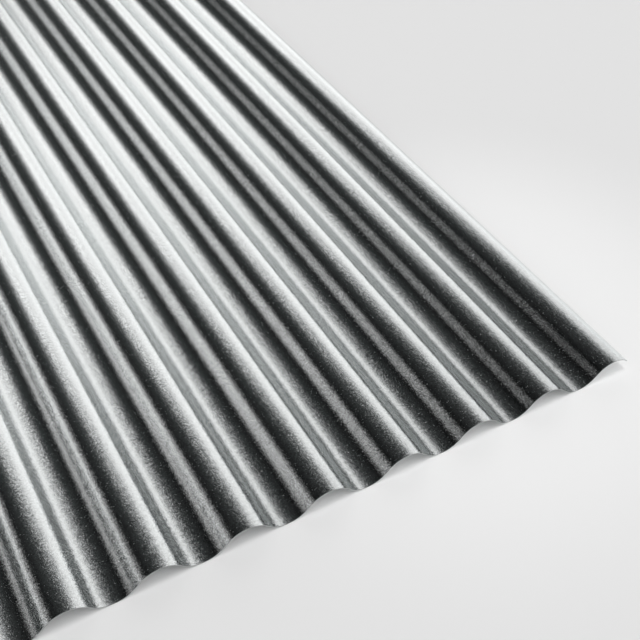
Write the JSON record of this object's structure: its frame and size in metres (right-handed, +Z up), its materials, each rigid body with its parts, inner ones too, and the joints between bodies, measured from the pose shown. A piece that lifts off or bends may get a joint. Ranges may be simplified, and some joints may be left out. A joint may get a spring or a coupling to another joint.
{
  "type": "corrugated metal sheet",
  "caption": "Galvanised steel sheet rolled into round waves that run along its length, for roofs, walls and fences.",
  "frame": {"origin": "on the floor under the middle of the sheet, in the plane that the undersides of its troughs rest on", "axes": "+X across the corrugations, +Y along the ridges, which is the long way, +Z up"},
  "size_m": [0.8706, 2, 0.0186],
  "materials": {
    "galvanised_steel": "bright fine-spangled zinc coating"
  },
  "bodies": {
    "root": {"corrugated_sheet": "galvanised_steel"}
  },
  "joints": []
}
